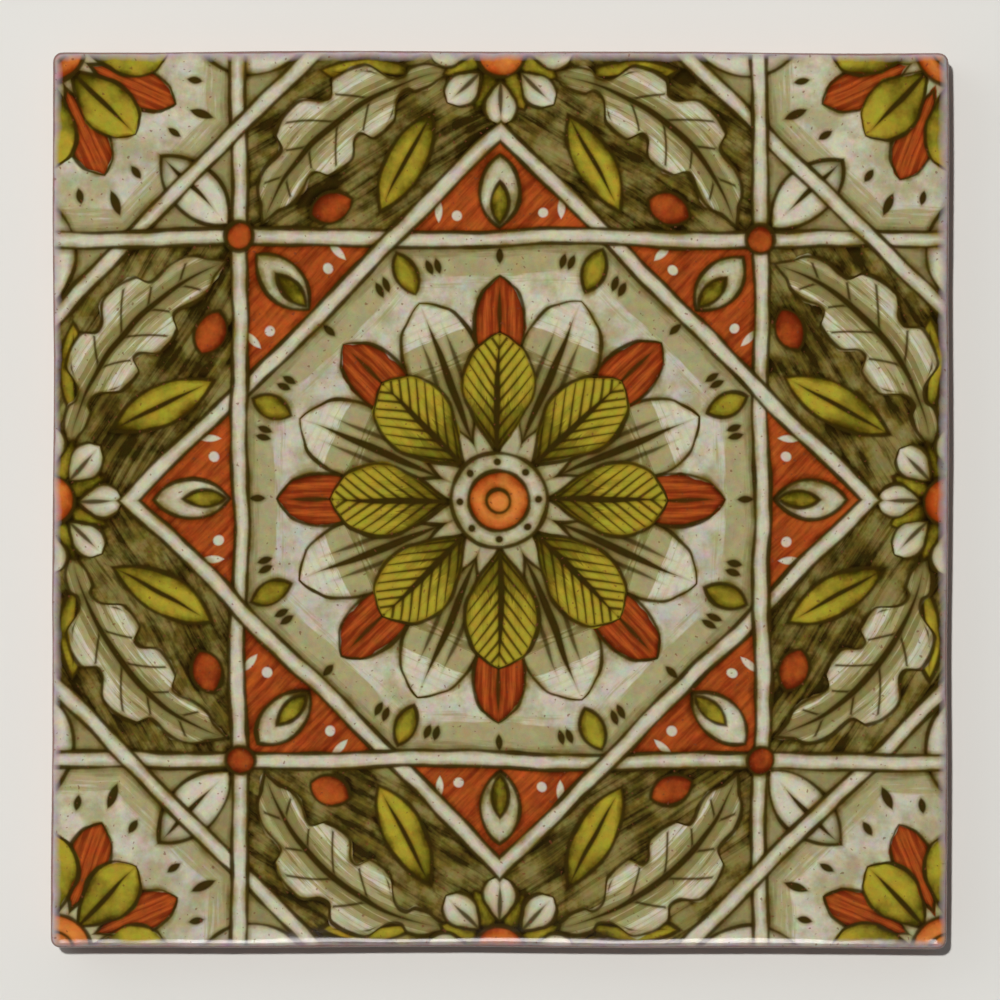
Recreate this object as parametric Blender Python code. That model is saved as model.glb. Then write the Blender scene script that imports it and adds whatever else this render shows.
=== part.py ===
"""Handmade glazed clay tile, one fired piece, lying on its back with the glazed face up.

Metres, +Z up. The origin is the middle of the flat back, on the surface that the tile lies on.
"""

import math

import bmesh
import bpy

MM = 0.001

# Driving sizes
FACE = 200 * MM  # side of the square face
THICKNESS = 12 * MM  # back to the highest point of the glaze
CORNER_RADIUS = 2.2 * MM  # the four upright corners
ROLL_RADIUS = 1.5 * MM  # where the glaze turns over from the face to the sides
BACK_ARRIS = 0.7 * MM  # small bevel round the back
UNDERCUT = 0.5 * MM  # how far each side leans in from the face to the back

# Unevenness of hand cutting, drying and glazing
SIDE_WAVE = 0.35 * MM
FACE_WAVE = 0.12 * MM
EDGE_BAND = 9 * MM  # the border of the face that falls away towards the sides
EDGE_DROP = 0.45 * MM

# Where the face is cut into smaller faces that can follow the waves
GRID_STEP = 11 * MM
EDGE_CUTS = (2.6 * MM, 5.2 * MM, EDGE_BAND)

ROLL_SEGMENTS = 4
CORNER_SEGMENTS = 5
BACK_SEGMENTS = 2

HALF = FACE / 2
SIDES = {"east": 0.4, "north": 2.1, "west": 3.9, "south": 5.2}  # phase of each side's wave

GLAZE_COLOUR = (0.50, 0.48, 0.38, 1.0)
CLAY_COLOUR = (0.42, 0.19, 0.10, 1.0)


def clear_scene():
    for item in list(bpy.data.objects):
        bpy.data.objects.remove(item, do_unlink=True)


def surface_material(name, colour, roughness):
    material = bpy.data.materials.new(name)
    material.use_nodes = True
    shader = material.node_tree.nodes["Principled BSDF"]
    shader.inputs["Base Color"].default_value = colour
    shader.inputs["Roughness"].default_value = roughness
    shader.inputs["Metallic"].default_value = 0.0
    material.diffuse_color = colour
    return material


def bevel(mesh, edges, width, segments):
    bmesh.ops.bevel(
        mesh, geom=edges, offset=width, offset_type="OFFSET", segments=segments,
        profile=0.5, affect="EDGES", clamp_overlap=True, material=-1,
    )


def edges_at_height(mesh, height):
    return [e for e in mesh.edges if all(abs(v.co.z - height) < 1e-7 for v in e.verts)]


def rounded_slab():
    """The square slab with its upright corners, its face and its back rounded off."""
    mesh = bmesh.new()
    bmesh.ops.create_cube(mesh, size=1.0)
    bmesh.ops.scale(mesh, vec=(FACE, FACE, THICKNESS), verts=mesh.verts)
    bmesh.ops.translate(mesh, vec=(0, 0, THICKNESS / 2), verts=mesh.verts)
    upright = [e for e in mesh.edges if abs(e.verts[0].co.z - e.verts[1].co.z) > THICKNESS / 2]
    bevel(mesh, upright, CORNER_RADIUS, CORNER_SEGMENTS)
    bevel(mesh, edges_at_height(mesh, THICKNESS), ROLL_RADIUS, ROLL_SEGMENTS)
    bevel(mesh, edges_at_height(mesh, 0.0), BACK_ARRIS, BACK_SEGMENTS)
    return mesh


def cut_positions():
    """Distances from the middle at which the slab is cut, one side of it and the middle itself."""
    near_edge = [HALF - distance for distance in EDGE_CUTS]
    steps = int((HALF - EDGE_BAND) // GRID_STEP)
    even = [(HALF - EDGE_BAND) * step / steps for step in range(1, steps)]
    return [0.0] + even + near_edge


def cut_into_grid(mesh):
    for direction in ((1, 0, 0), (0, 1, 0)):
        for distance in cut_positions():
            for sign in (-1, 1) if distance else (1,):
                point = [axis * distance * sign for axis in direction]
                everything = mesh.verts[:] + mesh.edges[:] + mesh.faces[:]
                bmesh.ops.bisect_plane(mesh, geom=everything, plane_co=point, plane_no=direction, dist=1e-6)
    level = [f for f in mesh.faces if all(abs(v.co.z) < 1e-7 for v in f.verts)]
    bmesh.ops.dissolve_faces(mesh, faces=level)


def side_wave(along, phase):
    """How far a side stands proud of a straight line, at a distance along it."""
    long_wave = math.sin(2 * math.pi * along / (1.35 * FACE) + phase)
    short_wave = math.sin(2 * math.pi * along / (0.38 * FACE) + 2.3 * phase)
    return SIDE_WAVE * (0.65 * long_wave + 0.35 * short_wave)


def face_wave(x, y):
    """The slow rise and fall of the glazed face."""
    across = math.sin(2 * math.pi * x / (0.62 * FACE) + 0.8) * math.cos(2 * math.pi * y / (0.85 * FACE) + 0.3)
    aslant = math.sin(2 * math.pi * (x + 0.7 * y) / (0.37 * FACE) + 1.9)
    return FACE_WAVE * (0.7 * across + 0.3 * aslant)


def edge_fall(x, y):
    """How much lower the face is near its border than in its middle."""
    from_side = HALF - max(abs(x), abs(y))
    share = min(1.0, max(0.0, 1 - from_side / EDGE_BAND))
    return EDGE_DROP * share**2


def shape_by_hand(mesh):
    """Moves each vertex by the waves, the fall towards the border and the undercut of the sides."""
    for vertex in mesh.verts:
        x, y, z = vertex.co
        height = z / THICKNESS
        inward = UNDERCUT * (1 - height) / HALF
        side_x = side_wave(y, SIDES["east"] if x > 0 else SIDES["west"])
        side_y = side_wave(x, SIDES["north"] if y > 0 else SIDES["south"])
        vertex.co.x = x * (1 - inward + side_x / HALF)
        vertex.co.y = y * (1 - inward + side_y / HALF)
        vertex.co.z = z + height**2 * (face_wave(x, y) - edge_fall(x, y))


def set_to_origin(mesh):
    """Centres the tile over the origin and brings its highest point to the stated thickness."""
    for axis in (0, 1):
        places = [v.co[axis] for v in mesh.verts]
        middle = (min(places) + max(places)) / 2
        for vertex in mesh.verts:
            vertex.co[axis] -= middle
    top = max(v.co.z for v in mesh.verts)
    for vertex in mesh.verts:
        vertex.co.z *= THICKNESS / top


def build_tile():
    tile_mesh = rounded_slab()
    cut_into_grid(tile_mesh)
    shape_by_hand(tile_mesh)
    set_to_origin(tile_mesh)
    bmesh.ops.recalc_face_normals(tile_mesh, faces=tile_mesh.faces)
    glaze_line = THICKNESS - 2 * ROLL_RADIUS
    for face in tile_mesh.faces:
        face.material_index = 0 if face.calc_center_median().z > glaze_line else 1

    data = bpy.data.meshes.new("tile")
    tile_mesh.to_mesh(data)
    tile_mesh.free()
    data.materials.append(surface_material("painted_glaze", GLAZE_COLOUR, 0.15))
    data.materials.append(surface_material("fired_clay", CLAY_COLOUR, 0.85))
    data.shade_smooth()
    data.set_sharp_from_angle(angle=math.radians(40))
    return bpy.data.objects.new("tile", data)


def main():
    clear_scene()
    collection = bpy.data.collections.new("handmade_clay_tile")
    bpy.context.scene.collection.children.link(collection)
    collection.objects.link(build_tile())


main()
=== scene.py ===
"""Dresses the handmade clay tile: its painted face, its bare clay sides and back, and the stage."""

import math
from typing import NamedTuple

import bmesh
import bpy
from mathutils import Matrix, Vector, noise


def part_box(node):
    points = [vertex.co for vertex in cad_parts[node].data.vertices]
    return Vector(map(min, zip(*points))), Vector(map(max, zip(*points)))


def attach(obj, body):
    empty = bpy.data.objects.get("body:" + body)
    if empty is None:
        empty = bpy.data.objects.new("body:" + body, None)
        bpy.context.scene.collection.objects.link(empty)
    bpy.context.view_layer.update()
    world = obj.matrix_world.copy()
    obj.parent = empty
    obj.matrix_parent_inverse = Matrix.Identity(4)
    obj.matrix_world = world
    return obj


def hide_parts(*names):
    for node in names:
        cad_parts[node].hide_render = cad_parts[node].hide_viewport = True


bl_info = {
    "name": "Handmade Clay Tile",
    "version": (1, 0, 0),
    "blender": (4, 5, 0),
    "location": "3D View > Sidebar > Clay Tile",
    "description": "Models and paints a tin-glazed, hand-cut clay tile",
    "category": "Object",
}

MM = 0.001
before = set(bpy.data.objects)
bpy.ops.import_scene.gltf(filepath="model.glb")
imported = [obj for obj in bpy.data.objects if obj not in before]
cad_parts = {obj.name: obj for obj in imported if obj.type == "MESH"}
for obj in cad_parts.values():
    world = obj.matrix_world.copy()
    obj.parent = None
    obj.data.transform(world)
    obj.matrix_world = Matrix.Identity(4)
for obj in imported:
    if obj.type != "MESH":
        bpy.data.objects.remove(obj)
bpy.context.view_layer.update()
TILE_LOW, TILE_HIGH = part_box("tile")
HALF_SIDE = (TILE_HIGH.x - TILE_LOW.x) / 2
THICKNESS = TILE_HIGH.z - TILE_LOW.z

PIECE_NAME = "glazed_tile"
PLACE = "drawn_place"  # each vertex's place in the drawing, and its distance from the nearest side
COVER = "glaze_cover"  # how much glaze lies on each vertex, from 0 to 1
TURN = "turned_down"  # 0 where the tile faces up, and 1 on its sides
MAP_NAME = "OFBake"

# The relief of the glaze and of the cut clay. Lengths are about those of one rise and fall.
RINGS = (0.35, 0.65)  # where rings are cut round the sides, in shares of the thickness
RUN_LENGTH, DRIP_LENGTH = 26 * MM, 6 * MM  # of the glaze's lower edge
GLAZE_END = 1.6 * MM  # height over which the glaze thins out to nothing at that edge
RIPPLE_LENGTH = 16 * MM
PULL_BAND, PULL_LENGTH = 6 * MM, 24 * MM  # the border of the face where the glaze draws down
BEAD_INSET, BEAD_HALF_WIDTH, BEAD_LENGTH = 2.6 * MM, 1.5 * MM, 11 * MM
GRAIN_LENGTH = 3.2 * MM
GRAIN_STRETCH = 2.5  # how much longer the grain is along the sides than up them
RIPPLE_OCTAVES = (0.8, 2.1, 3)  # how fast finer waves flatten, how much finer each is, and how many
GRAIN_OCTAVES = (0.7, 2.2, 4)
WIRE_SLANT = 0.3  # how far the wire that cut the back went aside for each unit along

# The drawing is measured in hundredths of half a side, so that one is about a millimetre.
UNITS = 100.0
STRAY = 1.3  # how far the edge of a loose wash strays from the line drawn round it, at most
ROOT_HALF = math.sqrt(0.5)
EIGHTH_COS = math.cos(math.pi / 8)
EIGHTH_SIN = math.sin(math.pi / 8)

# The painter's hand strays in slow waves, and a little in quick ones. Shares are of the wander.
SLOW_PACE, SLOW_SHARE = 0.032, 1.15
QUICK_PACE, QUICK_SHARE = 0.13, 0.28
QUICK_OFFSET = Vector((31, 7, 2))


def linear(red, green, blue):
    """A colour given as 0 to 255 on a screen, as the scene-linear colour that Blender holds."""
    shares = [value / 255 for value in (red, green, blue)]
    return tuple(s / 12.92 if s <= 0.04045 else ((s + 0.055) / 1.055) ** 2.4 for s in shares)


def colour_property(name, description, *screen_colour):
    return bpy.props.FloatVectorProperty(
        name=name, description=description, subtype="COLOR", size=3, min=0.0, max=1.0,
        default=linear(*screen_colour),
    )


def length_property(name, description, default):
    return bpy.props.FloatProperty(
        name=name, description=description, subtype="DISTANCE", unit="LENGTH", min=0.0,
        default=default, precision=5,
    )


def share_property(name, description, default, most=1.0):
    return bpy.props.FloatProperty(
        name=name, description=description, subtype="FACTOR", min=0.0, max=most, default=default,
    )


class TileBodySettings(bpy.types.PropertyGroup):
    """Sizes of the fired body and of the glaze on it."""

    ripple: length_property("Glaze ripple", "Height of the slow ripple left by dipping and firing", 0.05 * MM)
    bead: length_property("Glaze bead", "Height of the uneven bead of glaze along the edges", 0.09 * MM)
    pull: length_property("Edge pull", "How far the glaze draws down where it thins at the edges", 0.32 * MM)
    lip: length_property("Glaze lip", "How far the glaze stands proud of the bare clay", 0.18 * MM)
    run: length_property("Glaze run", "Usual depth of the glaze down the sides", 4.2 * MM)
    run_change: length_property("Run change", "How much that depth changes along the sides", 2.4 * MM)
    grain: length_property("Clay grain", "Roughness of the cut sides", 0.10 * MM)
    detail: bpy.props.IntProperty(
        name="Detail", description="Times that the tile's faces are divided in four", default=3, min=1, max=4,
    )


class PaletteSettings(bpy.types.PropertyGroup):
    """The fired colours of glaze, pigments and clay."""

    white: colour_property("White", "Tin glaze where nothing is painted", 192, 187, 164)
    cool_white: colour_property("Cool white", "The glaze's cooler, greyer patches", 182, 175, 162)
    # Thin glaze where the face turns down, made greyer than the white partly as painted shade on the rolled
    # edge
    edge_glaze_and_shade: colour_property("Edge white", "Thin glaze where the face turns down", 164, 150, 150)
    sage: colour_property("Sage", "Thin olive wash", 150, 141, 95)
    deep_sage: colour_property("Deep sage", "Olive wash laid twice", 106, 95, 40)
    bleed: colour_property("Bleed", "What the ink that bled beside a line lets through", 168, 150, 82)
    leaf: colour_property("Leaf", "Bright yellow-green", 158, 142, 42)
    deep_leaf: colour_property("Deep leaf", "Yellow-green where it pooled", 78, 68, 8)
    red: colour_property("Red", "Iron red, thickly laid", 118, 44, 14)
    bright_red: colour_property("Bright red", "Iron red where the brush ran thin", 174, 84, 32)
    orange: colour_property("Orange", "Orange of the bosses", 204, 124, 56)
    deep_orange: colour_property("Deep orange", "Orange where it pooled", 164, 70, 20)
    ground: colour_property("Ground", "Olive-brown ground", 106, 91, 33)
    deep_ground: colour_property("Deep ground", "Darkest strokes of the ground", 44, 33, 5)
    ink: colour_property("Ink", "Drawn lines", 50, 38, 6)
    clay: colour_property("Clay", "Fired clay of the sides and back", 164, 98, 64)
    pale_clay: colour_property("Pale clay", "Paler patches and dust on the clay", 196, 146, 110)
    # Also the dark line along the turned-down edge, which is partly painted shade
    dark_clay: colour_property("Dark clay", "Specks and scorched patches of the clay", 104, 56, 36)


class PaintingSettings(bpy.types.PropertyGroup):
    """How the face is drawn. Shares are of half the side of the tile."""

    star: share_property("Star", "Half the side of the two squares of the middle star", 0.58)
    strap: share_property("Strap", "Width of the pale strap round the stars", 0.034, 0.2)
    line: share_property("Line", "Usual width of a drawn line", 0.0076, 0.05)
    wander: share_property("Wander", "How far the painter's hand strays", 0.011, 0.1)
    soft: share_property("Softness", "Width over which a painted edge melts into the glaze", 0.0040, 0.05)
    hand: bpy.props.IntProperty(
        name="Hand", description="Picks one set of the hand's strays out of many", default=3, min=1,
    )


class StageSettings(bpy.types.PropertyGroup):
    """The floor, the camera and the lights."""

    floor: colour_property("Floor", "Plain pale floor", 217, 216, 212)
    fill: share_property("Frame filled", "Share of the picture's width that the tile takes", 0.90)
    camera_height: length_property("Camera height", "Height of the camera above the floor", 1.6)
    brightness: bpy.props.FloatProperty(
        name="Brightness", description="Strength of all the lights together", default=1.0, min=0.0, max=10.0,
    )


class Field:
    """One number at each point of a surface. Arithmetic on fields adds Math nodes to the material."""

    def __init__(self, tree, socket):
        self.tree = tree
        self.socket = socket

    def with_math(self, operation, *others, clamp=False):
        node = self.tree.nodes.new("ShaderNodeMath")
        node.operation = operation
        node.use_clamp = clamp
        for slot, value in zip(node.inputs, (self, *others)):
            if isinstance(value, Field):
                self.tree.links.new(value.socket, slot)
            else:
                slot.default_value = value
        return Field(self.tree, node.outputs[0])

    def __add__(self, other):
        return self.with_math("ADD", other)

    def __sub__(self, other):
        return self.with_math("SUBTRACT", other)

    def __mul__(self, other):
        return self.with_math("MULTIPLY", other)

    def __abs__(self):
        return self.with_math("ABSOLUTE")

    def __rsub__(self, other):
        return self.times_plus(-1.0, other)

    def times_plus(self, factor, term, clamp=False):
        return self.with_math("MULTIPLY_ADD", factor, term, clamp=clamp)

    def least(self, other):
        return self.with_math("MINIMUM", other)

    def most(self, other):
        return self.with_math("MAXIMUM", other)

    def ping_pong(self, span):
        """Runs up and down between 0 and span, which repeats a stroke."""
        return self.with_math("PINGPONG", span)


def joined(tree, x, y, z=0.0):
    """A vector from fields or plain numbers."""
    node = tree.nodes.new("ShaderNodeCombineXYZ")
    for slot, value in zip(node.inputs, (x, y, z)):
        if isinstance(value, Field):
            tree.links.new(value.socket, slot)
        else:
            slot.default_value = value
    return node.outputs[0]


def split(tree, vector):
    node = tree.nodes.new("ShaderNodeSeparateXYZ")
    tree.links.new(vector, node.inputs[0])
    return [Field(tree, output) for output in node.outputs]


def noise_field(tree, vector, scale, low=0.3, high=0.7, detail=2.0, rough=0.5, flat=False):
    """Noise between 0 and 1, with the part of its range from low to high spread over the whole."""
    node = tree.nodes.new("ShaderNodeTexNoise")
    node.noise_dimensions = "2D" if flat else "3D"
    tree.links.new(vector, node.inputs["Vector"])
    node.inputs["Scale"].default_value = scale
    node.inputs["Detail"].default_value = detail
    node.inputs["Roughness"].default_value = rough
    span = high - low
    return Field(tree, node.outputs[0]).times_plus(1 / span, -low / span, clamp=True)


def mixed(tree, share, first, second, blend="MIX"):
    """A colour between two. share is a field, and the colours are sockets or plain colours."""
    node = tree.nodes.new("ShaderNodeMix")
    node.data_type = "RGBA"
    node.blend_type = blend
    tree.links.new(share.socket, node.inputs[0])
    for slot, colour in ((node.inputs[6], first), (node.inputs[7], second)):
        if isinstance(colour, bpy.types.NodeSocket):
            tree.links.new(colour, slot)
        else:
            slot.default_value = (*colour, 1.0)
    return node.outputs[2]


def disc(x, y, centre, radius):
    """How far outside a round spot a point is. Less than nothing is inside, as in every shape below."""
    node = x.tree.nodes.new("ShaderNodeVectorMath")
    node.operation = "DISTANCE"
    x.tree.links.new(joined(x.tree, x, y), node.inputs[0])
    node.inputs[1].default_value = (*centre, 0.0)
    return Field(x.tree, node.outputs["Value"]) - radius


def turned(x, y, centre, degrees):
    """Distances along a line that leaves centre at an angle, and to either side of it."""
    c, s = math.cos(math.radians(degrees)), math.sin(math.radians(degrees))
    along = x.times_plus(c, y.times_plus(s, -centre[0] * c - centre[1] * s))
    across = y.times_plus(c, x.times_plus(-s, centre[0] * s - centre[1] * c))
    return along, abs(across)


def round_arc(x, y, centre, radius):
    """Distances along an arc, from due east of its centre, and away from it."""
    angle = (y - centre[1]).with_math("ARCTAN2", x - centre[0])
    return angle * radius, disc(x, y, centre, radius)


def eightfold(long_way, short_way):
    """Distances along the nearest of the eight rays from a point, and to either side of it."""
    slant = (long_way + short_way) * ROOT_HALF
    return long_way.most(slant), short_way.least((long_way - short_way) * ROOT_HALF)


def between(along, across):
    """The same for the eight rays that lie halfway between those."""
    outwards = along.times_plus(EIGHTH_COS, across * EIGHTH_SIN)
    return outwards, along.times_plus(EIGHTH_SIN, across * -EIGHTH_COS)


class Petal(NamedTuple):
    """A leaf, petal or dab: where it starts and ends along its own line, and half its width."""

    start: float
    end: float
    half_width: float
    outline: tuple = ()  # points of (share of the length, share of half_width). Without it, two arcs

    def shape(self, along, across):
        if self.outline:
            return self.curved(along, across)
        length = self.end - self.start
        radius = (length**2 / 4 + self.half_width**2) / (2 * self.half_width)
        return disc(along, across, ((self.start + self.end) / 2, self.half_width - radius), radius)

    def curved(self, along, across):
        tree = along.tree
        curve = tree.nodes.new("ShaderNodeFloatCurve")
        points = curve.mapping.curves[0].points
        points[0].location = self.outline[0]
        points[1].location = self.outline[-1]
        for place in self.outline[1:-1]:
            points.new(*place)
        curve.mapping.update()
        length = self.end - self.start
        share = along.times_plus(1 / length, -self.start / length, clamp=True)
        tree.links.new(share.socket, curve.inputs["Value"])
        tuck = 1.6  # draws the ends in, so that no line shows beyond them
        return across + Field(tree, curve.outputs[0]).times_plus(-self.half_width - tuck, tuck)


OGEE = ((0.0, 0.0), (0.12, 0.18), (0.4, 0.76), (0.62, 1.0), (0.8, 0.88), (0.92, 0.54), (1.0, 0.0))
LOBED = (
    (0.0, 0.0), (0.07, 0.30), (0.16, 0.42), (0.2, 0.30), (0.3, 0.86), (0.4, 0.94), (0.45, 0.66),
    (0.55, 1.0), (0.66, 0.88), (0.7, 0.56), (0.8, 0.62), (0.9, 0.34), (1.0, 0.0),
)

# The flower in the middle, outwards from its centre
BOSS, BOSS_RING, BOSS_EYE = 6.6, 10.6, 2.6
BOSS_DOT_PLACE, BOSS_DOT = (8.6, 0.0), 0.8
GREEN_LEAF = Petal(7.0, 38.0, 8.2, OGEE)
GREEN_MIDRIB = Petal(8.0, 35.0, 0.75)
GREEN_RIB_SPAN, GREEN_RIB = 1.55, 0.52  # half the distance from one rib to the next, and half a rib's width
GREEN_DARK_END = 24.0  # how far out the second, darker coat goes
PALE_PETAL = Petal(10.0, 48.5, 8.6, OGEE)
PALE_MIDRIB = Petal(14.0, 43.0, 0.85)
PALE_SIDE_VEIN = Petal(25.0, 39.0, 0.5)
PALE_VEIN_ASIDE = 2.9
PALE_SAGE_END, PALE_DEEP_END = 38.5, 30.5  # how far out the coats of sage and deep sage go
RED_PETAL = Petal(20.0, 50.5, 5.8, OGEE)
RED_MIDRIB = Petal(36.0, 47.0, 0.5)
FLOWER_BUD = Petal(50.0, 59.5, 2.5)
DAB = Petal(-1.7, 1.7, 0.8)
DAB_RING = 54.2
DAB_TURNS = (0, 15)  # degrees from each of the eight rays
DAB_BESIDE_BUD = 5.2

# The points of the star, outwards from its squares, and the studs on the straps
POINT_BUD = Petal(2.6, 18.5, 4.4)
POINT_CORE = Petal(3.4, 12.5, 1.9)
POINT_DOT_PLACE, POINT_DOT = (5.4, 9.4), 1.1
POINT_TICK = Petal(4.0, 9.0, 0.8)
POINT_TICK_ASIDE = 13.5
STUD = 3.1

# The dark ground between the stars, in the quarter east of the middle
SCROLL_CENTRE, SCROLL_RADIUS = (44.4, 3.8), 51.6
SCROLL = Petal(6.0, 67.0, 8.8, LOBED)
SCROLL_MIDRIB = Petal(14.0, 61.0, 0.7)
SCROLL_VEIN_SPAN, SCROLL_VEIN = 4.4, 0.36  # half the distance from one vein to the next, and half its width
SCROLL_SAGE, SCROLL_DEEP = 4.8, 2.5  # how far from the midrib the coats of sage and deep sage go
# Each as where it starts, the degrees from due east that it points, and its shape
SIDE_LEAVES = (((86.0, 15.0), 152, Petal(0.0, 25.0, 4.4)), ((94.0, 17.0), 86, Petal(0.0, 23.0, 3.4)))
GROUND_BUD = ((66.5, 33.0), 112, Petal(0.0, 10.0, 3.4))
SIDE_PETAL = Petal(4.0, 17.0, 3.7, OGEE)
SIDE_MIDRIB = Petal(6.0, 14.0, 0.5)
SIDE_SEPAL = Petal(4.0, 14.0, 2.6)
SIDE_EYE = 5.6

# The quarter star in each corner, outwards from the corner
CORNER_LEAF = Petal(4.0, 27.0, 5.8, OGEE)
CORNER_LEAF_MIDRIB = Petal(6.0, 24.0, 0.6)
CORNER_PETAL = Petal(6.0, 31.0, 4.6, OGEE)
CORNER_PETAL_TICK = Petal(34.0, 39.5, 1.0)
CORNER_TIP = Petal(34.0, 56.0, 5.4)
CORNER_TIP_MIDRIB = Petal(36.0, 50.0, 0.6)
CORNER_DAB_RING = 33.0
CORNER_DAB_TURN = 11  # degrees
CORNER_BOSS = 8.2
CORNER_BOSS_RIM = 4.0  # width of the rim drawn inside the boss


class Tint(NamedTuple):
    """Sage washed over the white glaze of a star: round its flower, and in two coats along its rim."""

    thinning: float  # how much of the wash round the flower is lost with each unit outwards
    start: float  # how much of it there is at the flower's centre. One and more is a full wash
    strength: float
    first_coat: float  # how much of each coat there is at the rim, counted in the same way
    second_coat: float


MIDDLE_TINT = Tint(thinning=0.05, start=2.5, strength=0.75, first_coat=4.4, second_coat=1.4)
CORNER_TINT = Tint(thinning=0.06, start=2.3, strength=0.7, first_coat=3.2, second_coat=1.2)


class Brush:
    """Lays washes and lines over one part of the face, and keeps the colour so far."""

    def __init__(self, tree, palette, painting):
        self.tree = tree
        self.palette = palette
        self.strap = painting.strap * UNITS
        self.soft = painting.soft * UNITS
        self.star = painting.star * UNITS
        place = tree.nodes.new("ShaderNodeAttribute")
        place.attribute_name = PLACE
        self.place = place.outputs["Vector"]
        self.x, self.y, self.from_side = split(tree, self.place)
        wide, tall = abs(self.x), abs(self.y)
        self.east, self.north = wide.most(tall), wide.least(tall)
        self.slant = (self.east + self.north) * ROOT_HALF
        self.out, self.aside = eightfold(self.east, self.north)
        self.corner_near, self.corner_far = UNITS - self.east, UNITS - self.north
        self.corner_slant = (self.corner_near + self.corner_far) * ROOT_HALF

        self.mottle = noise_field(tree, self.place, 0.11, detail=4.0, rough=0.6, flat=True)
        self.blotch = noise_field(tree, self.place, 0.028, low=0.32, high=0.68, detail=1.0, flat=True)
        strays = noise_field(tree, self.place, 0.17, low=0.0, high=1.0, detail=2.0, flat=True)
        self.stray = strays.times_plus(2 * STRAY, -STRAY)
        pressure = noise_field(tree, self.place, 0.09, low=0.25, high=0.75, detail=3.0, flat=True)
        half_line = painting.line * UNITS / 2
        self.half_line = pressure.times_plus(1.1 * half_line, 0.5 * half_line)
        self.firmness = pressure.times_plus(0.25, 0.72)
        self.wetness = self.mottle.times_plus(0.7, 0.65)
        self.canvas = None

    def uneven(self, strength, middle=0.5):
        """What the mottle of a wash adds to its depth, as much below nothing as above it."""
        return (self.mottle - middle) * strength

    def bristles(self, along, across, fine=0.8):
        """Noise drawn out along a stroke, as the hairs of the brush leave it."""
        vector = joined(self.tree, along * 0.05, across * fine)
        return noise_field(self.tree, vector, 1.0, detail=3.0, rough=0.6, flat=True)

    def inside(self, shape):
        return shape.times_plus(-1 / self.soft, 0.5, clamp=True)

    def lay(self, share, colour):
        self.canvas = mixed(self.tree, share, self.canvas, colour)

    def stain(self, share, colour):
        """Darkens what is there, as a thin transparent wash does."""
        self.canvas = mixed(self.tree, share, self.canvas, colour, "MULTIPLY")

    def wash(self, shape, light, dark, shade, pool=2.4, loose=True):
        """Fills a shape, loosely. shade takes it from light to dark, and pigment pools at the edge."""
        if loose:
            shape = shape + self.stray
        pooled = shape.times_plus(1 / pool, 1.0, clamp=True)
        depth = pooled.times_plus(0.4, shade, clamp=True)
        self.lay(self.inside(shape), mixed(self.tree, depth, light, dark))

    def second_coat(self, shape, edge, colour, strength=0.55):
        """Goes again over the part of a shape where edge is over nothing. The brush leaves its mark there."""
        over = edge.times_plus(1.2, 0.5, clamp=True) * strength
        self.lay(over * self.inside(shape), colour)

    def draw(self, distance, width=1.0):
        """Draws a line where distance is nothing, thick and thin with the hand, in ink that bled a little."""
        away = abs(distance)
        half = self.half_line if width == 1.0 else self.half_line * width
        self.stain(away.times_plus(-0.75, self.wetness, clamp=True), self.palette.bleed)
        line = (half - away).times_plus(1 / self.soft, 0.5, clamp=True) * self.firmness
        self.lay(line, self.palette.ink)

    def stroke(self, shape, strength=0.97):
        """One touch of the brush in ink, in the shape of a leaf or dot."""
        self.stain(shape.times_plus(-0.8, 0.6, clamp=True) * strength, self.palette.bleed)
        self.lay(self.inside(shape) * strength, self.palette.ink)

    def dot(self, shape):
        """One touch of the brush in white, over another colour."""
        self.lay(self.inside(shape) * 0.93, self.palette.white)

    def variegate(self, strength):
        """Breaks every colour up a little, lighter and darker, warmer and cooler, as the fire does."""
        clouds = self.tree.nodes.new("ShaderNodeTexNoise")
        clouds.noise_dimensions = "2D"
        self.tree.links.new(self.place, clouds.inputs["Vector"])
        clouds.inputs["Scale"].default_value = 0.33
        clouds.inputs["Detail"].default_value = 4.0
        clouds.inputs["Roughness"].default_value = 0.75
        overlay = self.tree.nodes.new("ShaderNodeMix")
        overlay.data_type = "RGBA"
        overlay.blend_type = "OVERLAY"
        overlay.inputs[0].default_value = strength
        self.tree.links.new(self.canvas, overlay.inputs[6])
        self.tree.links.new(clouds.outputs["Color"], overlay.inputs[7])
        self.canvas = overlay.outputs[2]


def paint_glaze(brush):
    """The white tin glaze, a little cooler and greyer in patches."""
    brush.canvas = mixed(brush.tree, brush.blotch, brush.palette.white, brush.palette.cool_white)
    brush.lay(brush.mottle * 0.22, brush.palette.sage)


def tint_star(brush, along, across, rim, tint):
    """Washes a star with sage. along and across start from its flower, and rim is nothing at its edge."""
    colours = brush.palette
    near = along.times_plus(-tint.thinning, tint.start) + brush.uneven(1.6)
    brush.lay(near.times_plus(1.0, 0.0, clamp=True) * tint.strength, colours.sage)
    hairs = brush.bristles(across, rim)
    reach = rim + brush.stray * 0.9 + hairs * 3.0
    brush.lay(reach.times_plus(0.55, tint.first_coat, clamp=True) * 0.85, colours.sage)
    brush.lay(reach.times_plus(0.45, tint.second_coat, clamp=True) * 0.5, colours.deep_sage)


def paint_orange(brush, boss, deepening):
    """Fills a boss with orange that deepens by so much with each unit towards its edge."""
    shade = boss.times_plus(deepening, 0.5) + brush.uneven(0.7, middle=0.4)
    brush.wash(boss, brush.palette.orange, brush.palette.deep_orange, shade, loose=False)


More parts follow.
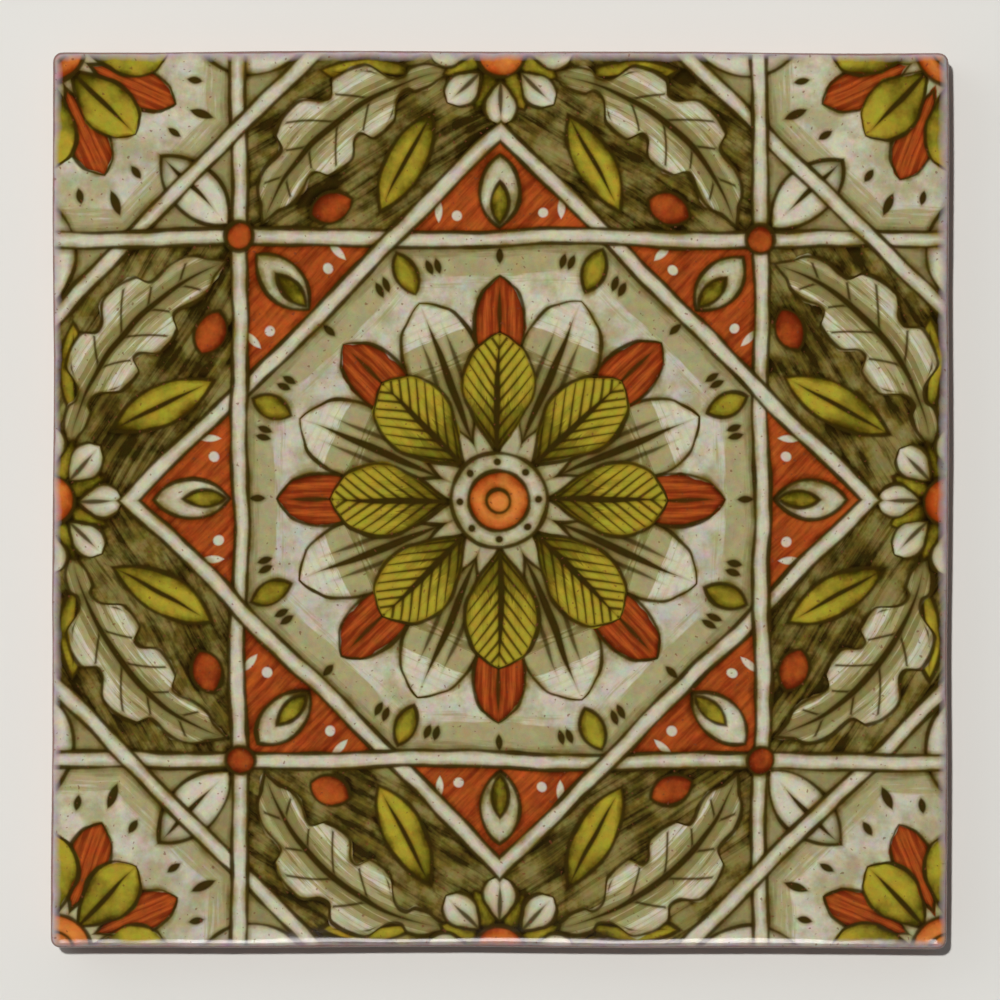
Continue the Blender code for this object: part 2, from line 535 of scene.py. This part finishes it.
def paint_flower_ground(brush):
    """Glaze tinted with sage, with dabs and buds round the flower."""
    colours = brush.palette
    tint_star(brush, brush.out, brush.aside, brush.east.most(brush.slant) - brush.star, MIDDLE_TINT)
    for degrees in DAB_TURNS:
        along, across = turned(brush.out, brush.aside, (0.0, 0.0), degrees)
        brush.stroke(DAB.shape(along - DAB_RING, across))
    along, across = between(brush.out, brush.aside)
    brush.stroke(DAB.shape(along - DAB_RING, abs(across - DAB_BESIDE_BUD)))
    bud = FLOWER_BUD.shape(along, across)
    brush.wash(bud, colours.leaf, colours.deep_leaf, brush.mottle * 0.6, pool=1.5, loose=False)
    brush.draw(bud, 0.9)


def paint_pale_petals(brush):
    colours = brush.palette
    along, across = between(brush.out, brush.aside)
    shape = PALE_PETAL.shape(along, across)
    rings = brush.bristles(across, along, 0.55)
    brush.wash(shape, colours.white, colours.sage, along.times_plus(-0.035, 1.5) + (rings - 0.5) * 0.6)
    brush.second_coat(shape, PALE_SAGE_END - along + rings * 3.5, colours.sage, 0.9)
    brush.second_coat(shape, PALE_DEEP_END - along + rings * 5.0, colours.deep_sage, 0.65)
    brush.draw(shape)
    brush.stroke(PALE_MIDRIB.shape(along, across))
    brush.stroke(PALE_SIDE_VEIN.shape(along, abs(across - PALE_VEIN_ASIDE)), strength=0.7)


def paint_red_petals(brush):
    colours = brush.palette
    shape = RED_PETAL.shape(brush.out, brush.aside)
    hairs = brush.bristles(brush.out, brush.aside)
    brush.wash(shape, colours.bright_red, colours.red, hairs.times_plus(1.0, 0.1))
    brush.draw(shape)
    brush.stroke(RED_MIDRIB.shape(brush.out, brush.aside), strength=0.8)


def paint_green_leaves(brush):
    colours = brush.palette
    shape = GREEN_LEAF.shape(brush.out, brush.aside)
    hairs = brush.bristles(brush.out, brush.aside, 0.5)
    shade = brush.out.times_plus(-0.045, 1.15) + (hairs - 0.5) * 0.7
    brush.wash(shape, colours.leaf, colours.deep_leaf, shade)
    brush.second_coat(shape, GREEN_DARK_END - brush.out - hairs * 6.0, colours.deep_leaf, 0.6)
    ribs = (brush.out - brush.aside * 1.3).ping_pong(GREEN_RIB_SPAN)
    rib = (ribs + brush.aside.times_plus(0.05, -GREEN_RIB)).most(shape.times_plus(1.0, 0.7))
    brush.stroke(rib, strength=0.75)
    brush.draw(shape, 1.1)
    brush.stroke(GREEN_MIDRIB.shape(brush.out, brush.aside))


def paint_boss(brush):
    """The orange boss in the middle of the flower, in a ring of dots."""
    colours = brush.palette
    ring = disc(brush.x, brush.y, (0.0, 0.0), BOSS_RING)
    brush.wash(ring, colours.white, colours.sage, brush.mottle * 0.8, loose=False)
    brush.draw(ring, 1.1)
    boss = ring + (BOSS_RING - BOSS)
    paint_orange(brush, boss, 0.11)
    brush.draw(boss)
    brush.draw(ring + (BOSS_RING - BOSS_EYE), 0.9)
    brush.stroke(disc(brush.out, brush.aside, BOSS_DOT_PLACE, BOSS_DOT))


def paint_flower(brush):
    """The flower inside the star: green leaves over red ones, with pale ones between."""
    paint_flower_ground(brush)
    paint_pale_petals(brush)
    paint_red_petals(brush)
    paint_green_leaves(brush)
    paint_boss(brush)
    paint_middle_straps(brush)


def paint_star_points(brush):
    """The eight points of the star: iron red, with a pale bud in each."""
    colours = brush.palette
    outwards = brush.out - brush.star
    hairs = brush.bristles(brush.x + brush.y, brush.x - brush.y, 0.45)
    depth = hairs.times_plus(0.8, brush.mottle * 0.3)
    brush.canvas = mixed(brush.tree, depth, colours.bright_red, colours.red)
    bud = POINT_BUD.shape(outwards, brush.aside)
    brush.wash(bud, colours.white, colours.sage, brush.mottle * 0.9, pool=1.8, loose=False)
    core = POINT_CORE.shape(outwards, brush.aside)
    brush.wash(core, colours.leaf, colours.deep_leaf, brush.mottle, loose=False)
    brush.draw(bud)
    brush.draw(core, 0.9)
    brush.dot(disc(outwards, brush.aside, POINT_DOT_PLACE, POINT_DOT))
    brush.dot(POINT_TICK.shape(outwards, abs(brush.aside - POINT_TICK_ASIDE)))
    paint_middle_straps(brush)
    paint_studs(brush)


def paint_ground(brush):
    """The dark ground between the stars, brushed round the middle."""
    colours = brush.palette
    across, along = brush.slant + brush.east * 0.4, brush.x - brush.y
    hairs = brush.bristles(along, across, 0.4)
    dark = hairs.times_plus(1.1, brush.mottle.times_plus(1.1, -0.66), clamp=True)
    brush.canvas = mixed(brush.tree, dark, colours.ground, colours.deep_ground)
    glints = brush.mottle.times_plus(-2.2, 1.3, clamp=True) * hairs.times_plus(-1.1, 1.1, clamp=True)
    brush.lay(glints * 0.5, colours.sage)
    paint_side_leaves(brush)
    paint_scroll(brush)
    paint_side_flower(brush)
    paint_middle_straps(brush)
    paint_corner_straps(brush)
    paint_studs(brush)


def paint_scroll(brush):
    """A long lobed leaf that sweeps from the middle of each side towards the diagonal."""
    colours = brush.palette
    along, away = round_arc(brush.east, brush.north, SCROLL_CENTRE, SCROLL_RADIUS)
    across = abs(away)
    shape = SCROLL.shape(along, across)
    hairs = brush.bristles(along, away)
    brush.wash(shape, colours.white, colours.sage, along.times_plus(-0.014, 0.75) + (hairs - 0.5) * 0.9)
    brush.second_coat(shape, SCROLL_SAGE - across + (hairs - 0.5) * 4.0, colours.sage, 0.9)
    brush.second_coat(shape, SCROLL_DEEP - across + (hairs - 0.5) * 4.0, colours.deep_sage, 0.65)
    brush.draw(shape)
    brush.stroke(SCROLL_MIDRIB.shape(along, across))
    veins = (along - across * 1.1).ping_pong(SCROLL_VEIN_SPAN)
    vein = (veins - SCROLL_VEIN).most(shape.times_plus(1.0, 1.3)).most(0.8 - across)
    brush.stroke(vein, strength=0.75)


def paint_side_leaves(brush):
    """Bright leaves and a red bud beside each long one."""
    colours = brush.palette
    for centre, degrees, petal in SIDE_LEAVES:
        along, across = turned(brush.east, brush.north, centre, degrees)
        shape = petal.shape(along, across)
        shade = along.times_plus(-0.9 / petal.end, 0.62) + brush.uneven(0.8)
        brush.wash(shape, colours.leaf, colours.deep_leaf, shade, loose=False)
        brush.draw(shape)
        brush.stroke(Petal(1.5, petal.end * 0.85, 0.5).shape(along, across))
    centre, degrees, petal = GROUND_BUD
    along, across = turned(brush.east, brush.north, centre, degrees)
    shape = petal.shape(along, across)
    brush.wash(shape, colours.bright_red, colours.red, brush.mottle, loose=False)
    brush.draw(shape, 0.9)


def paint_side_flower(brush):
    """Half a small flower at the middle of each side."""
    colours = brush.palette
    near = brush.corner_near
    along, across = eightfold(near.most(brush.north), near.least(brush.north))
    sepal = SIDE_SEPAL.shape(*between(along, across))
    brush.wash(sepal, colours.leaf, colours.deep_leaf, brush.mottle, loose=False)
    brush.draw(sepal, 0.9)
    petal = SIDE_PETAL.shape(along, across)
    brush.wash(petal, colours.white, colours.sage, along.times_plus(-0.1, 1.4), loose=False)
    brush.draw(petal)
    brush.stroke(SIDE_MIDRIB.shape(along, across), strength=0.8)
    eye = disc(near, brush.north, (0.0, 0.0), SIDE_EYE)
    brush.wash(eye, colours.orange, colours.deep_orange, brush.mottle, loose=False)
    brush.draw(eye, 1.1)


def paint_corner_star(brush):
    """A quarter of a star in each corner, white, with a quarter of a flower."""
    colours = brush.palette
    along, across = eightfold(brush.corner_far, brush.corner_near)
    middle = between(along, across)
    rim = brush.corner_far.most(brush.corner_slant) - (UNITS - brush.star)
    tint_star(brush, along, across, rim, CORNER_TINT)

    tip = CORNER_TIP.shape(along, across)
    brush.wash(tip, colours.white, colours.deep_sage, along.times_plus(-0.045, 2.1), loose=False)
    brush.draw(tip, 0.9)
    brush.stroke(CORNER_TIP_MIDRIB.shape(along, across))

    petal = CORNER_PETAL.shape(*middle)
    brush.wash(petal, colours.bright_red, colours.red, brush.bristles(*middle))
    brush.draw(petal)
    brush.stroke(CORNER_PETAL_TICK.shape(*middle))
    dab_along, dab_across = turned(along, across, (0.0, 0.0), CORNER_DAB_TURN)
    brush.stroke(DAB.shape(dab_along - CORNER_DAB_RING, dab_across))

    leaf = CORNER_LEAF.shape(along, across)
    shade = along.times_plus(-0.06, 1.3) + brush.uneven(0.8)
    brush.wash(leaf, colours.leaf, colours.deep_leaf, shade)
    brush.draw(leaf)
    brush.stroke(CORNER_LEAF_MIDRIB.shape(along, across))

    boss = disc(brush.corner_near, brush.corner_far, (0.0, 0.0), CORNER_BOSS)
    paint_orange(brush, boss, 0.09)
    brush.draw(boss, 1.1)
    brush.draw(boss + CORNER_BOSS_RIM, 0.9)
    paint_corner_straps(brush)
    paint_studs(brush)


def weave(brush, upright, slanted):
    """The two pale straps of a star, over and under each other where they cross."""
    turn = brush.x * brush.y * (abs(brush.x) - abs(brush.y))
    over = turn.with_math("GREATER_THAN", 0.0)
    upright, slanted = abs(upright), abs(slanted)
    change = (slanted - upright) * over
    for band in (slanted - change, upright + change):
        edge = band - brush.strap / 2
        brush.dot(edge)
        brush.draw(edge, 0.95)


def paint_studs(brush):
    """A red stud where the straps of the middle star and a corner star meet."""
    stud = disc(brush.east, brush.north, (brush.star, brush.star), STUD)
    brush.wash(stud, brush.palette.bright_red, brush.palette.red, brush.mottle, pool=1.6, loose=False)
    brush.draw(stud, 1.1)


def paint_middle_straps(brush):
    weave(brush, brush.east - brush.star, brush.slant - brush.star)


def paint_corner_straps(brush):
    reach = UNITS - brush.star
    weave(brush, brush.corner_far - reach, brush.corner_slant - reach)


PARTS = {
    "flower": paint_flower,
    "points": paint_star_points,
    "ground": paint_ground,
    "corner": paint_corner_star,
}
PARTS_AT_THE_SIDES = ("ground", "corner")


def part_at(x, y, star):
    """The part of the painting that a place in the drawing belongs to."""
    east, north = max(abs(x), abs(y)), min(abs(x), abs(y))
    slant = (east + north) * ROOT_HALF
    if max(east, slant) < star:
        return "flower"
    if min(east, slant) < star:
        return "points"
    corner_slant = (2 * UNITS - east - north) * ROOT_HALF
    return "corner" if min(UNITS - north, corner_slant) < UNITS - star else "ground"


def object_place(tree):
    """Object coordinates in the drawing's units, not moved by the painter's hand."""
    node = tree.nodes.new("ShaderNodeVectorMath")
    node.operation = "SCALE"
    tree.links.new(tree.nodes.new("ShaderNodeTexCoord").outputs["Object"], node.inputs[0])
    node.inputs["Scale"].default_value = UNITS / HALF_SIDE
    return node.outputs[0]


def link_bump(tree, shader, relief):
    """Lets a field of heights in millimetres tilt the light on the surface."""
    bump = tree.nodes.new("ShaderNodeBump")
    bump.inputs["Distance"].default_value = MM
    tree.links.new(relief.socket, bump.inputs["Height"])
    tree.links.new(bump.outputs["Normal"], shader.inputs["Normal"])


def edge_break_and_shade(tree, ragged):
    """Darkens the turned-down edge of the face: partly glaze so thin there that the dark body shows, partly
    painted shade.
    """
    turn = tree.nodes.new("ShaderNodeAttribute")
    turn.attribute_name = TURN
    turned_down = Field(tree, turn.outputs["Fac"])
    past_edge = turned_down.times_plus(-9.0, 9.0, clamp=True)
    return turned_down.times_plus(6.0, ragged.times_plus(1.0, -1.9), clamp=True) * past_edge * 0.75


def painted_material(part, palette, painting):
    """Glaze with one part of the painting under it, thinning where the face turns down at the sides, greyer
    and darker there partly as painted shade.
    """
    material = bpy.data.materials.new("painted_" + part)
    material.use_nodes = True
    tree = material.node_tree
    shader = tree.nodes["Principled BSDF"]
    brush = Brush(tree, palette, painting)
    paint_glaze(brush)
    PARTS[part](brush)
    if part in PARTS_AT_THE_SIDES:
        # Along the sides: a greyer strip where the painting ends in thin glaze, partly painted shade, then a
        # dark line at the turned-down edge, partly painted shade
        thin = brush.from_side.times_plus(-0.7, 1.75) + brush.uneven(0.6)
        brush.lay(thin.times_plus(0.8, 0.0, clamp=True), palette.edge_glaze_and_shade)
        brush.lay(edge_break_and_shade(tree, brush.mottle), palette.dark_clay)
    specks = noise_field(tree, brush.place, 0.85, low=0.74, high=0.8, detail=1.0, flat=True)
    brush.lay(specks * 0.6, palette.dark_clay)
    brush.variegate(0.38)
    tree.links.new(brush.canvas, shader.inputs["Base Color"])
    tree.links.new(brush.mottle.times_plus(0.07, 0.1).socket, shader.inputs["Roughness"])
    peel = noise_field(tree, object_place(tree), 0.22, low=0.0, high=1.0, detail=1.0)
    link_bump(tree, shader, peel * 0.05)
    return material


def body_material(palette):
    """The sides and back: thin glaze that ran over the edge, darkened at the top of the edge partly as
    painted shade, and bare fired clay.
    """
    material = bpy.data.materials.new("glaze_over_clay")
    material.use_nodes = True
    tree = material.node_tree
    shader = tree.nodes["Principled BSDF"]
    place = object_place(tree)

    patches = noise_field(tree, place, 0.09, detail=4.0, rough=0.65)
    specks = noise_field(tree, place, 1.5, low=0.55, high=0.72, detail=2.0)
    grit = noise_field(tree, place, 0.5, low=0.66, high=0.71, detail=1.0)
    x, y, z = split(tree, place)
    along_wire, across_wire = x + y * WIRE_SLANT, y + x * -WIRE_SLANT
    drawn = joined(tree, along_wire * 0.03, across_wire, z)
    drags = noise_field(tree, drawn, 0.8, low=0.35, high=0.7, detail=4.0, rough=0.65)
    clay = mixed(tree, patches * 0.7, palette.clay, palette.pale_clay)
    clay = mixed(tree, drags * 0.38, clay, palette.dark_clay)
    clay = mixed(tree, specks * 0.5, clay, palette.dark_clay)
    clay = mixed(tree, grit * 0.65, clay, palette.dark_clay)

    cover = tree.nodes.new("ShaderNodeAttribute")
    cover.attribute_name = COVER
    worn = noise_field(tree, place, 0.5, detail=3.0)
    covered = Field(tree, cover.outputs["Fac"]) + (worn - 0.5) * 0.35
    glazed = covered.times_plus(5.0, -2.0, clamp=True)
    thick = covered.times_plus(1.6, -0.8, clamp=True)
    # The run glaze takes the greyer edge colour, which is partly painted shade, and darkens at the top of the
    # turned-down edge, partly as painted shade
    glaze = mixed(tree, thick, palette.pale_clay, palette.edge_glaze_and_shade)
    glaze = mixed(tree, edge_break_and_shade(tree, patches), glaze, palette.dark_clay)
    tree.links.new(mixed(tree, glazed, clay, glaze), shader.inputs["Base Color"])
    tree.links.new(glazed.times_plus(-0.68, 0.86).socket, shader.inputs["Roughness"])
    sand = noise_field(tree, place, 2.4, low=0.0, high=1.0, detail=4.0, rough=0.7)
    link_bump(tree, shader, (sand - drags * 0.7) * glazed.times_plus(-0.2, 0.24))
    return material


def tile_cage():
    """The tile's own solid as a closed cage, with rings cut round its sides for the glaze to run over."""
    mesh = bmesh.new()
    mesh.from_mesh(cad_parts["tile"].data)
    bmesh.ops.remove_doubles(mesh, verts=mesh.verts, dist=0.001 * MM)
    back = [f for f in mesh.faces if f.normal.z < -0.999]
    bmesh.ops.dissolve_faces(mesh, faces=back)
    bmesh.ops.join_triangles(
        mesh, faces=mesh.faces, angle_face_threshold=math.radians(35), angle_shape_threshold=math.radians(50),
    )
    for share in RINGS:
        geometry = mesh.verts[:] + mesh.edges[:] + mesh.faces[:]
        height = (0, 0, TILE_LOW.z + share * THICKNESS)
        bmesh.ops.bisect_plane(mesh, geom=geometry, plane_co=height, plane_no=(0, 0, 1), dist=0.001 * MM)
    return mesh


def divided(context, tile, times):
    """The tile's mesh with its faces divided and smoothed, put in the place of its cage."""
    division = tile.modifiers.new("Subdivision", "SUBSURF")
    division.levels = times
    division.render_levels = times
    smooth = bpy.data.meshes.new_from_object(tile.evaluated_get(context.evaluated_depsgraph_get()))
    tile.modifiers.clear()
    tile.data = smooth
    smooth.name = PIECE_NAME
    smooth.materials.clear()
    return smooth


def noise_over_plan(spot, length, layer=0.0):
    """Smooth noise that is the same all the way down the tile. Another layer gives other noise."""
    return noise.noise(Vector((spot.x, spot.y, layer)) / length)


def glaze_depth(spot, body):
    """How far down the sides the glaze reaches near a spot, from the top."""
    slow = noise_over_plan(spot, RUN_LENGTH)
    quick = noise_over_plan(spot, DRIP_LENGTH, layer=4 * MM)
    return body.run + body.run_change * (0.8 * slow + 0.5 * quick)


def within(value):
    return min(1.0, max(0.0, value))


def side_distance(spot):
    return HALF_SIDE - max(abs(spot.x), abs(spot.y))


def relief_at(vertex, body):
    """How much glaze covers a vertex, and how far the surface there moves along its normal."""
    spot, normal = vertex.co, vertex.normal
    cover = within(0.5 + (glaze_depth(spot, body) - TILE_HIGH.z + spot.z) / GLAZE_END)
    on_side = within(1 - abs(normal.z) * 1.6)
    lift = cover * body.ripple * noise.fractal(spot / RIPPLE_LENGTH, *RIPPLE_OCTAVES)
    near_side = within(1 - side_distance(spot) / PULL_BAND)
    thinned = within(0.45 + 1.6 * noise_over_plan(spot, PULL_LENGTH, layer=17 * MM))
    lift -= body.pull * thinned * near_side**2 * within(normal.z)
    from_bead = (side_distance(spot) - BEAD_INSET) / BEAD_HALF_WIDTH
    if normal.z > 0 and abs(from_bead) < 1:
        swell = 0.5 + 0.9 * noise_over_plan(spot, BEAD_LENGTH, layer=9 * MM)
        lift += body.bead * within(swell) * (1 - from_bead**2) ** 2
    if cover < 1:
        drawn_out = Vector((spot.x, spot.y, GRAIN_STRETCH * spot.z))
        grain = body.grain * noise.fractal(drawn_out / GRAIN_LENGTH, *GRAIN_OCTAVES)
        lift += (1 - cover) * on_side * (grain - body.lip)
    return cover, normal * lift


def relieve_surface(mesh, body):
    """Ripples the glaze, roughens the cut clay and lifts the glaze's lip, and notes where the glaze lies."""
    turns = [within(1 - vertex.normal.z) for vertex in mesh.vertices]
    reliefs = [relief_at(vertex, body) for vertex in mesh.vertices]
    for vertex, (_, lift) in zip(mesh.vertices, reliefs):
        vertex.co += lift
    for name, values in ((TURN, turns), (COVER, [cover for cover, _ in reliefs])):
        mesh.attributes.new(name, "FLOAT", "POINT").data.foreach_set("value", values)


def draw_by_hand(mesh, painting):
    """Notes each vertex's place in the drawing, off true by as much as the painter's hand."""
    scale = UNITS / HALF_SIDE
    wander = painting.wander * UNITS
    noise.seed_set(painting.hand)
    places = []
    for vertex in mesh.vertices:
        spot = vertex.co * scale
        spot.z = 0
        slow = noise.noise_vector(spot * SLOW_PACE) * SLOW_SHARE * wander
        quick = noise.noise_vector(spot * QUICK_PACE + QUICK_OFFSET) * QUICK_SHARE * wander
        place = spot + slow + quick
        places += (place.x, place.y, side_distance(vertex.co) * scale)
    attribute = mesh.attributes.new(PLACE, "FLOAT_VECTOR", "POINT")
    attribute.data.foreach_set("vector", places)


def divide_painting(mesh, painting):
    """Gives each face of the mesh the material of its part of the painting, or of the body."""
    places = mesh.attributes[PLACE].data
    order = [*PARTS, "body"]
    for face in mesh.polygons:
        if face.normal.z < 0.5:
            face.material_index = order.index("body")
            continue
        middle = sum((places[index].vector for index in face.vertices), Vector()) / len(face.vertices)
        face.material_index = order.index(part_at(middle.x, middle.y, painting.star * UNITS))


def lay_out_map(mesh):
    """Lays the face, the four sides and the back flat side by side in one map."""
    layer = mesh.uv_layers.new(name=MAP_NAME)
    margin, face_size, strip, gap = 0.004, 0.86, 0.027, 0.005
    back_left = face_size + 2 * margin
    back_width = 1 - face_size - 3 * margin
    for face in mesh.polygons:
        centre = face.center
        for loop in face.loop_indices:
            spot = mesh.vertices[mesh.loops[loop].vertex_index].co
            across, up = ((value / HALF_SIDE + 1) / 2 for value in (spot.x, spot.y))
            if face.normal.z > 0.5:
                place = (margin + across * face_size, margin + up * face_size)
            elif face.normal.z < -0.5:
                place = (back_left + across * back_width, margin + up * face_size)
            else:
                east_or_west = abs(centre.x) > abs(centre.y)
                along = up if east_or_west else across
                side = (centre.x > 0) if east_or_west else 2 + (centre.y > 0)
                height = (spot.z - TILE_LOW.z) / THICKNESS
                place = (
                    margin + along * face_size,
                    face_size + 2 * margin + side * (strip + gap) + height * strip,
                )
            layer.data[loop].uv = place


class ModelTile(bpy.types.Operator):
    """Models the fired tile over its solid and paints it"""

    bl_idname = "clay_tile.model_tile"
    bl_label = "Glazed Tile"

    def execute(self, context):
        scene = context.scene
        body, palette, painting = scene.clay_tile_body, scene.clay_tile_palette, scene.clay_tile_painting
        cage = tile_cage()
        data = bpy.data.meshes.new(PIECE_NAME)
        cage.to_mesh(data)
        cage.free()
        tile = bpy.data.objects.new(PIECE_NAME, data)
        scene.collection.objects.link(tile)
        smooth = divided(context, tile, body.detail)
        for part in PARTS:
            smooth.materials.append(painted_material(part, palette, painting))
        smooth.materials.append(body_material(palette))
        relieve_surface(smooth, body)
        draw_by_hand(smooth, painting)
        divide_painting(smooth, painting)
        lay_out_map(smooth)
        smooth.shade_smooth()
        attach(tile, "root")
        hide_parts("tile")
        return {"FINISHED"}


class Lamp(NamedTuple):
    """A flat lamp that faces the tile, in metres and watts."""

    name: str
    place: tuple
    width: float
    length: float
    power: float
    colour: tuple = (1.0, 0.99, 0.97)


SKYLIGHT = Lamp("skylight", (-0.47, 0.60, 3.4), 0.12, 0.12, 107.0)
WINDOW = Lamp("window", (-4.4, 2.6, 3.8), 3.0, 3.0, 30.0)
CARD = Lamp("card", (0.0, -1.05, 1.7), 0.42, 0.8, 12.0, (1.0, 0.97, 0.98))
ROOM_STRENGTH = 0.65
DARK_CEILING = (0.02, 0.02, 0.02)
PALE_WALLS = (0.98, 0.98, 1.0)
FLOOR_HALF = 4.0
FLOOR_GAP = 0.02 * MM  # keeps the floor clear of the flat back
FLOOR_ROUGHNESS = 0.9
FARTHEST_SEEN = 20.0


def hang_lamp(lamp, bright):
    light = bpy.data.lights.new(lamp.name, "AREA")
    light.shape = "RECTANGLE"
    light.size = lamp.width
    light.size_y = lamp.length
    light.energy = lamp.power * bright
    light.color = lamp.colour
    hung = bpy.data.objects.new(lamp.name, light)
    hung.location = lamp.place
    hung.rotation_euler = (-Vector(lamp.place)).to_track_quat("-Z", "Y").to_euler()
    bpy.context.scene.collection.objects.link(hung)
    return hung


def pale_room(bright):
    """Soft light from pale walls, palest at the upper left, under a dark ceiling that the face can mirror."""
    world = bpy.data.worlds.new("pale_room")
    world.use_nodes = True
    tree = world.node_tree
    east, north, height = split(tree, tree.nodes.new("ShaderNodeTexCoord").outputs["Generated"])
    facing = (north - east).times_plus(0.45, 0.6, clamp=True)
    walls = height.times_plus(-2.4, 2.1, clamp=True) * facing
    background = tree.nodes["Background"]
    tree.links.new(mixed(tree, walls, DARK_CEILING, PALE_WALLS), background.inputs["Color"])
    background.inputs["Strength"].default_value = ROOM_STRENGTH * bright
    return world


def lay_floor(stage):
    floor_mesh = bmesh.new()
    bmesh.ops.create_grid(floor_mesh, x_segments=1, y_segments=1, size=FLOOR_HALF)
    data = bpy.data.meshes.new("floor")
    floor_mesh.to_mesh(data)
    floor_mesh.free()
    floor = bpy.data.objects.new("floor", data)
    floor.location.z = TILE_LOW.z - FLOOR_GAP
    bpy.context.scene.collection.objects.link(floor)
    matte = bpy.data.materials.new("pale_floor")
    matte.use_nodes = True
    shader = matte.node_tree.nodes["Principled BSDF"]
    shader.inputs["Base Color"].default_value = (*stage.floor, 1.0)
    shader.inputs["Roughness"].default_value = FLOOR_ROUGHNESS
    data.materials.append(matte)


def set_up_camera(stage):
    """Looks straight down from above the middle of the tile."""
    data = bpy.data.cameras.new("camera")
    camera = bpy.data.objects.new("camera", data)
    bpy.context.scene.collection.objects.link(camera)
    camera.location = (0.0, 0.0, stage.camera_height)
    seen = 2 * HALF_SIDE / stage.fill
    data.lens = data.sensor_width * (stage.camera_height - THICKNESS) / seen
    data.clip_end = FARTHEST_SEEN
    bpy.context.scene.camera = camera


class LayStage(bpy.types.Operator):
    """Lays a plain pale floor, soft light and a camera straight above the tile"""

    bl_idname = "clay_tile.lay_stage"
    bl_label = "Stage"

    def execute(self, context):
        scene = context.scene
        stage = scene.clay_tile_stage
        lay_floor(stage)
        hang_lamp(SKYLIGHT, stage.brightness).visible_glossy = False
        hang_lamp(WINDOW, stage.brightness)
        hang_lamp(CARD, stage.brightness).visible_diffuse = False
        scene.world = pale_room(stage.brightness)
        scene.view_settings.view_transform = "Standard"
        set_up_camera(stage)
        return {"FINISHED"}


class ClayTilePanel(bpy.types.Panel):
    """Lists what there is to make"""

    bl_idname = "VIEW3D_PT_clay_tile"
    bl_label = "Clay Tile"
    bl_space_type = "VIEW_3D"
    bl_region_type = "UI"
    bl_category = "Clay Tile"

    def draw(self, context):
        layout = self.layout
        for operator in OPERATORS:
            layout.operator(operator.bl_idname)
        for name in SETTINGS:
            group = getattr(context.scene, name)
            box = layout.box()
            for item in group.bl_rna.properties:
                if item.identifier not in ("rna_type", "name"):
                    box.prop(group, item.identifier)


SETTINGS = {
    "clay_tile_body": TileBodySettings,
    "clay_tile_palette": PaletteSettings,
    "clay_tile_painting": PaintingSettings,
    "clay_tile_stage": StageSettings,
}
OPERATORS = (LayStage, ModelTile)


def register():
    for group in (*SETTINGS.values(), *OPERATORS, ClayTilePanel):
        bpy.utils.register_class(group)
    for name, group in SETTINGS.items():
        setattr(bpy.types.Scene, name, bpy.props.PointerProperty(type=group))


def unregister():
    for name in SETTINGS:
        delattr(bpy.types.Scene, name)
    for group in reversed((*SETTINGS.values(), *OPERATORS, ClayTilePanel)):
        bpy.utils.unregister_class(group)


def main():
    register()
    bpy.ops.clay_tile.lay_stage()
    bpy.ops.clay_tile.model_tile()


if __name__ == "__main__":
    main()
